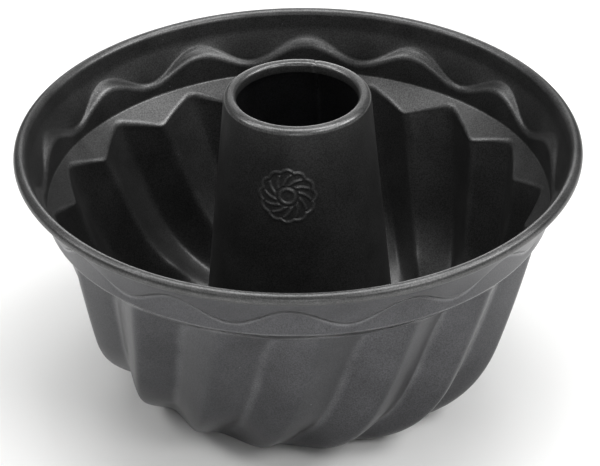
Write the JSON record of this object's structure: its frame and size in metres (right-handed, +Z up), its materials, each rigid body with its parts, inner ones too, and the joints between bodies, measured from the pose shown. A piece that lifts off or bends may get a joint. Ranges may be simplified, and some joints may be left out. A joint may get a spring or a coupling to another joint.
{
  "type": "bundt pan",
  "caption": "Round fluted ring-cake pan with a rolled rim, a waved ledge, twisted ribs and a tall conical centre tube.",
  "frame": {"origin": "on the surface the pan stands on, under the axis of the pan and tube", "axes": "+Z up along the pan's axis, out of its open mouth; -Y towards the side opposite the tube's welded seam"},
  "size_m": [0.22, 0.22, 0.1236],
  "materials": {
    "body_coating": "dark charcoal non-stick coating, satin, fine fleck",
    "tube_coating": "dark charcoal non-stick coating, satin, fine fleck"
  },
  "bodies": {
    "root": {"fluted_body": "body_coating", "centre_tube": "tube_coating"}
  },
  "joints": []
}
